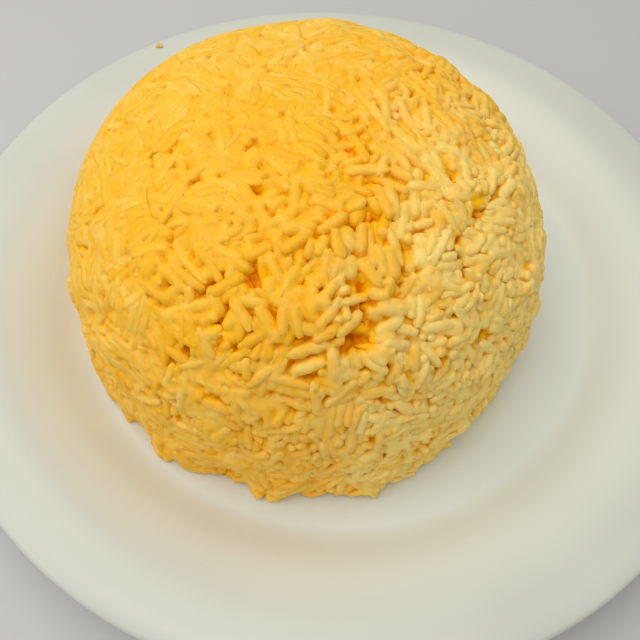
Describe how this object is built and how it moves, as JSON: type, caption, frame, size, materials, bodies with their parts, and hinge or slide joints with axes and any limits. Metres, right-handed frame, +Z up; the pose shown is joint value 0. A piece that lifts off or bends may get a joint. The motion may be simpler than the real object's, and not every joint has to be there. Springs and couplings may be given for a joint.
{
  "type": "yellow rice on a plate",
  "caption": "Dome of yellow long-grain rice, pressed in a bowl and turned out on a round white dinner plate with a rolled edge.",
  "frame": {"origin": "on the table, under the middle of the plate's foot ring", "axes": "+Z up; +Y away from the side that is shown nearest, +X to the right of it; the dome's middle is 10 mm towards -X and 4 mm towards -Y"},
  "size_m": [0.26, 0.26, 0.0891],
  "materials": {
    "white_glaze": "gloss",
    "yellow_rice": "satin"
  },
  "bodies": {
    "root": {"plate": "white_glaze", "rice": "yellow_rice"}
  },
  "joints": []
}
